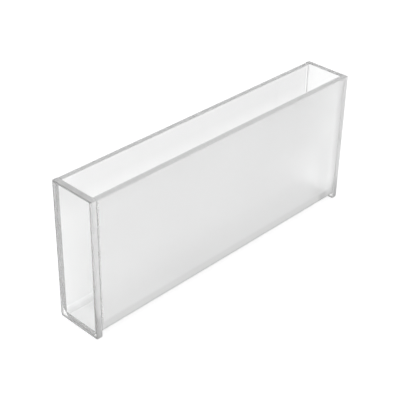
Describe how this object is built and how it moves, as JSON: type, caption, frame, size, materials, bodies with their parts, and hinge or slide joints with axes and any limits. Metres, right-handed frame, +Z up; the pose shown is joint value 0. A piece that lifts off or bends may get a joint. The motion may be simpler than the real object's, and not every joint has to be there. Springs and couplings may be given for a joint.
{
  "type": "rectangular glass cuvette with a long light path",
  "caption": "Long, narrow open-top glass cell: a trough with finely ground long walls and chamfered lower edges, closed at both ends by clear windows, for measuring light absorbed by a liquid.",
  "frame": {"origin": "bottom centre of the bounding box, midway between the two windows' feet on the surface that the cell stands on", "axes": "+X along the light path, from window to window; +Y across the narrow channel; +Z up"},
  "size_m": [0.104, 0.0156, 0.044],
  "materials": {
    "clear_glass": "polished optical faces, finely ground rim, sides and arrises",
    "ground_glass": "finely ground outer faces, chamfers and rim, polished inner faces"
  },
  "bodies": {
    "root": {"trough": "ground_glass", "left_window": "clear_glass", "right_window": "clear_glass"}
  },
  "joints": []
}
